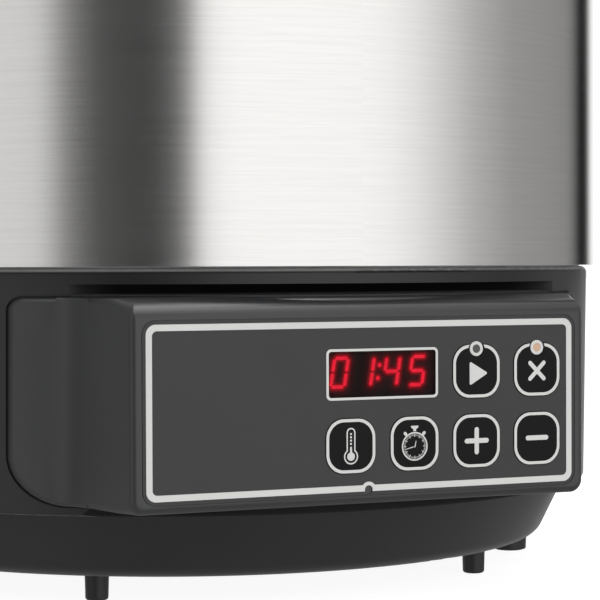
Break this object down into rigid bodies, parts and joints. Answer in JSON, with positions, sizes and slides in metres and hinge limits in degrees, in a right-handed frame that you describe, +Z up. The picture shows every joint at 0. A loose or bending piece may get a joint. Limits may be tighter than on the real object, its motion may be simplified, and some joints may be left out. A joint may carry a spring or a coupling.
{
  "type": "yogurt maker",
  "caption": "Free-standing heated stainless vat with domed lid, side grips, perforated jar rack and a plastic base whose front box has a red timer display and push buttons.",
  "frame": {"origin": "on the vessel's axis, at the plane that the feet stand on", "axes": "+Z up along the vessel's axis, the control panel faces -Y, the mains inlet faces +Y, the carrying grips are at -X and +X"},
  "size_m": [0.458, 0.4004, 0.4842],
  "materials": {
    "vessel_steel": "horizontally brushed satin",
    "base_plastic": "fine satin moulding, near-black charcoal",
    "housing_plastic": "satin charcoal moulding",
    "grip_plastic": "fine-textured black phenolic",
    "panel_sheet": "finely textured charcoal front sheet",
    "silver_print": "silver print",
    "smoked_lens": "smoked polished lens",
    "digit_red": "lit red segment",
    "button_black": "glossy black cap",
    "clear_guide": "frosted clear light guide",
    "black_rubber": "matt black rubber",
    "silicone_seal": "translucent grey silicone",
    "aluminium_sheet": "mill finish",
    "element_sheath": "oxidised stainless tube",
    "white_ceramic": "glazed ceramic",
    "terminal_brass": "stamped brass",
    "zinc_steel": "bright zinc",
    "cutout_body": "phenolic",
    "board_green": "solder mask",
    "component_black": "moulded component",
    "relay_blue": "moulded relay cover",
    "terminal_white": "polyamide",
    "capacitor_sleeve": "shrink sleeve",
    "led_body": "LED lens",
    "wire_silicone": "red silicone insulation",
    "wire_grey": "grey insulation"
  },
  "bodies": {
    "base": {"vessel_shell": "vessel_steel", "handle_brackets": "vessel_steel", "base_ring": "base_plastic", "base_tray": "base_plastic", "slim_feet": "base_plastic", "wide_feet": "base_plastic", "mains_gland": "base_plastic", "gland_locknut": "base_plastic", "control_housing": "housing_plastic", "rear_cover": "housing_plastic", "handle_left": "grip_plastic", "handle_right": "grip_plastic", "panel_overlay": "panel_sheet", "panel_print": "silver_print", "led_bezels": "silver_print", "display_window": "smoked_lens", "digit_segments": "digit_red", "light_pipes": "clear_guide", "foot_pads": "black_rubber", "seat_gasket": "silicone_seal", "heat_plate": "aluminium_sheet", "heat_shield": "aluminium_sheet", "heating_element": "element_sheath", "temperature_sensor": "element_sheath", "sensor_spring": "element_sheath", "terminal_insulators": "white_ceramic", "terminal_tabs": "terminal_brass", "handle_screws": "zinc_steel", "tray_screws": "zinc_steel", "board_screws": "zinc_steel", "rear_cover_screws": "zinc_steel", "tie_rods": "zinc_steel", "tie_rod_nuts": "zinc_steel", "shield_spacers": "zinc_steel", "thermal_cutout": "cutout_body", "power_board": "board_green", "control_board": "board_green", "power_supply_module": "component_black", "buzzer": "component_black", "display_module": "component_black", "tact_switches": "component_black", "power_relay": "relay_blue", "terminal_block": "terminal_white", "power_capacitor": "capacitor_sleeve", "indicator_leds": "led_body", "heater_wiring": "wire_silicone", "sensor_lead": "wire_grey", "panel_cable": "wire_grey"},
    "lid": {"lid_shell": "vessel_steel", "lid_knob": "grip_plastic", "knob_collar": "vessel_steel", "knob_screw": "zinc_steel", "vent_grommet": "black_rubber"},
    "rack": {"jar_rack": "vessel_steel"},
    "start_button": {"button_start": "button_black"},
    "cancel_button": {"button_cancel": "button_black"},
    "plus_button": {"button_plus": "button_black"},
    "minus_button": {"button_minus": "button_black"},
    "timer_button": {"button_timer": "button_black"},
    "temperature_button": {"button_temperature": "button_black"}
  },
  "joints": [
    {"name": "lid_lift", "type": "slide", "parent": "base", "child": "lid", "axis": [0, 0, 1], "range_m": [0, 0.15]},
    {"name": "rack_lift", "type": "slide", "parent": "base", "child": "rack", "axis": [0, 0, 1], "range_m": [0, 0.2]},
    {"name": "start_press", "type": "slide", "parent": "base", "child": "start_button", "axis": [0, 1, 0], "range_m": [0, 0.0007], "stiffness_N_per_m": 2200},
    {"name": "cancel_press", "type": "slide", "parent": "base", "child": "cancel_button", "axis": [0, 1, 0], "range_m": [0, 0.0007], "stiffness_N_per_m": 2200},
    {"name": "plus_press", "type": "slide", "parent": "base", "child": "plus_button", "axis": [0, 1, 0], "range_m": [0, 0.0007], "stiffness_N_per_m": 2200},
    {"name": "minus_press", "type": "slide", "parent": "base", "child": "minus_button", "axis": [0, 1, 0], "range_m": [0, 0.0007], "stiffness_N_per_m": 2200},
    {"name": "timer_press", "type": "slide", "parent": "base", "child": "timer_button", "axis": [0, 1, 0], "range_m": [0, 0.0007], "stiffness_N_per_m": 2200},
    {"name": "temperature_press", "type": "slide", "parent": "base", "child": "temperature_button", "axis": [0, 1, 0], "range_m": [0, 0.0007], "stiffness_N_per_m": 2200}
  ]
}
